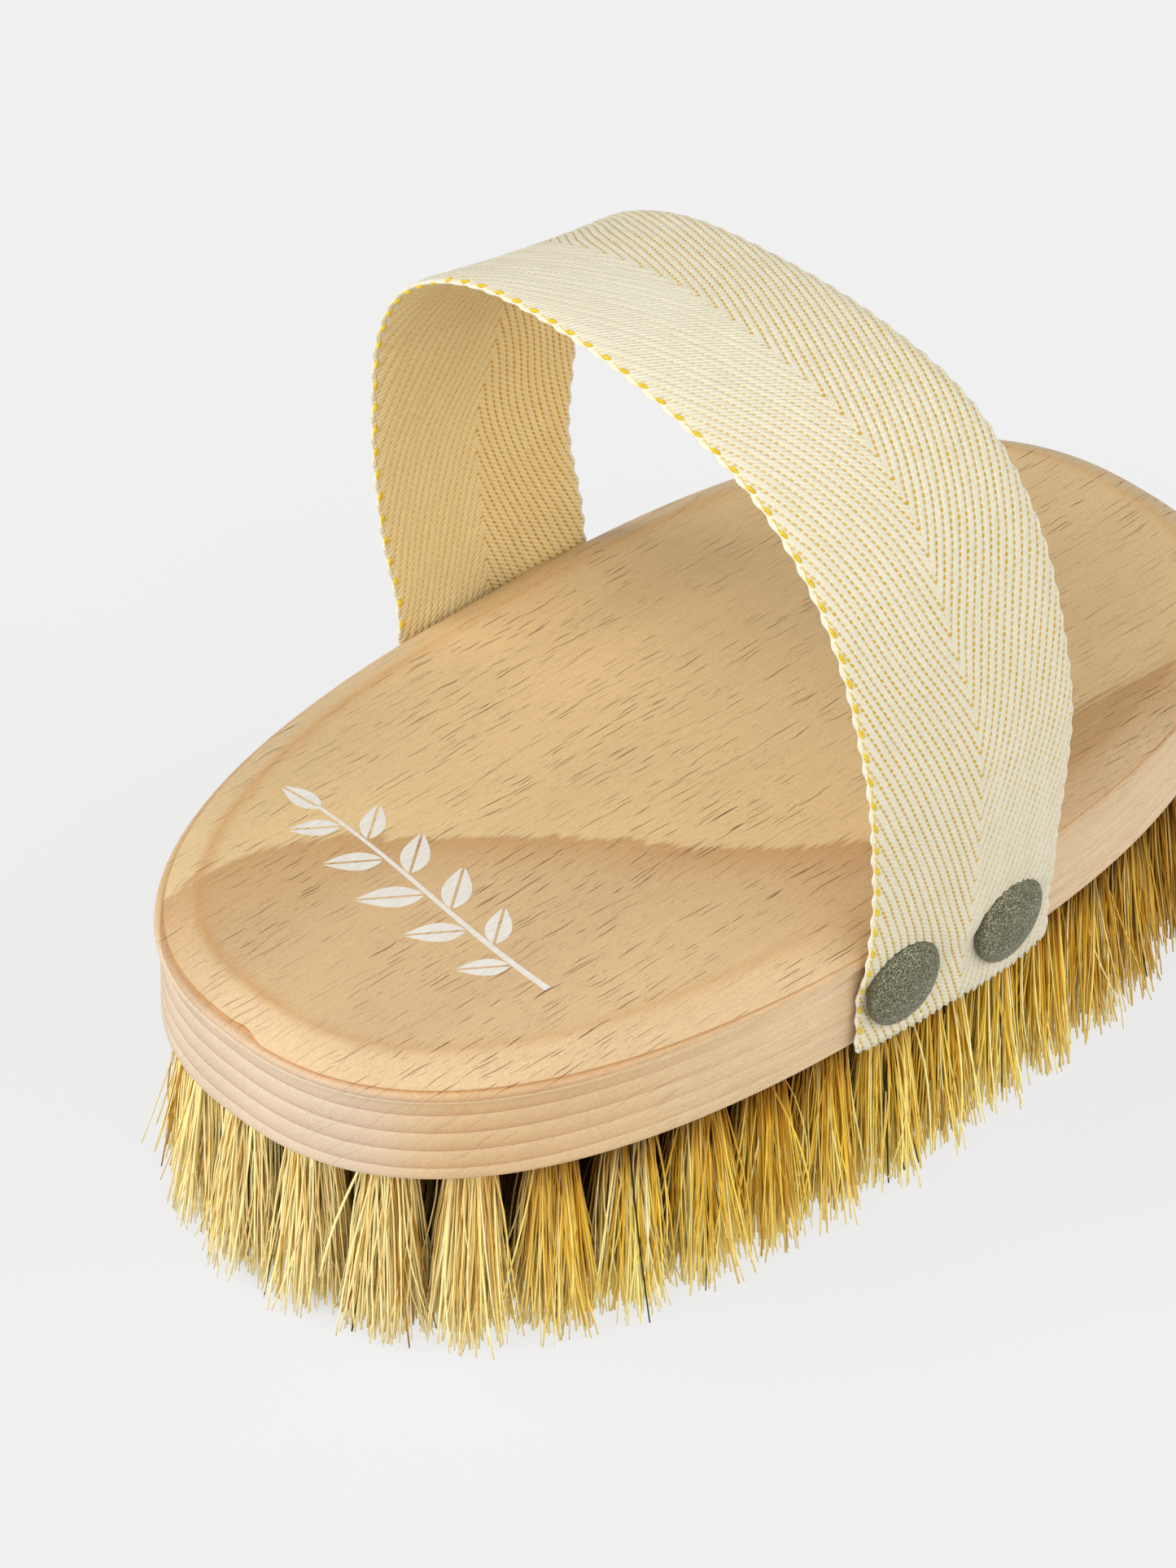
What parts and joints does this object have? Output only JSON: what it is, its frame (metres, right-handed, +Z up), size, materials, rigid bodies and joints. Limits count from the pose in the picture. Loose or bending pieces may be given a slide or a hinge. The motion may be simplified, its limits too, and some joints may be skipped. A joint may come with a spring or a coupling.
{
  "type": "dry body brush",
  "caption": "Oval wooden body brush with flared natural bristle tufts and an arched webbing hand strap nailed across its width.",
  "frame": {"origin": "on the surface the brush stands on, at the bristle tips, under the middle of the brush", "axes": "+X along the oval block; +Y across it, along the strap; +Z up, from the bristle tips to the strap"},
  "size_m": [0.14, 0.0818, 0.09],
  "materials": {
    "beech": "fine-sanded and oiled, pale beech with short dark flecks",
    "webbing": "undyed cotton herringbone webbing, matt",
    "nail_metal": "sandblasted grey steel, satin",
    "bristle": "stiff natural bristle and plant fibre, straw with a few dark hairs"
  },
  "bodies": {
    "root": {"hand_strap": "webbing", "inner_tuft_row_01": "bristle", "inner_tuft_row_02": "bristle", "inner_tuft_row_03": "bristle", "inner_tuft_row_04": "bristle", "inner_tuft_row_05": "bristle", "inner_tuft_row_06": "bristle", "inner_tuft_row_07": "bristle", "inner_tuft_row_08": "bristle", "inner_tuft_row_09": "bristle", "inner_tuft_row_10": "bristle", "inner_tuft_row_11": "bristle", "inner_tuft_row_12": "bristle", "inner_tuft_row_13": "bristle", "nail_far_left": "nail_metal", "nail_far_right": "nail_metal", "nail_near_left": "nail_metal", "nail_near_right": "nail_metal", "outer_tuft_01": "bristle", "outer_tuft_02": "bristle", "outer_tuft_03": "bristle", "outer_tuft_04": "bristle", "outer_tuft_05": "bristle", "outer_tuft_06": "bristle", "outer_tuft_07": "bristle", "outer_tuft_08": "bristle", "outer_tuft_09": "bristle", "outer_tuft_10": "bristle", "outer_tuft_11": "bristle", "outer_tuft_12": "bristle", "outer_tuft_13": "bristle", "outer_tuft_14": "bristle", "outer_tuft_15": "bristle", "outer_tuft_16": "bristle", "outer_tuft_17": "bristle", "outer_tuft_18": "bristle", "outer_tuft_19": "bristle", "outer_tuft_20": "bristle", "outer_tuft_21": "bristle", "outer_tuft_22": "bristle", "outer_tuft_23": "bristle", "outer_tuft_24": "bristle", "outer_tuft_25": "bristle", "outer_tuft_26": "bristle", "outer_tuft_27": "bristle", "outer_tuft_28": "bristle", "outer_tuft_29": "bristle", "outer_tuft_30": "bristle", "outer_tuft_31": "bristle", "outer_tuft_32": "bristle", "outer_tuft_33": "bristle", "outer_tuft_34": "bristle", "outer_tuft_35": "bristle", "outer_tuft_36": "bristle", "outer_tuft_37": "bristle", "wooden_block": "beech"}
  },
  "joints": []
}
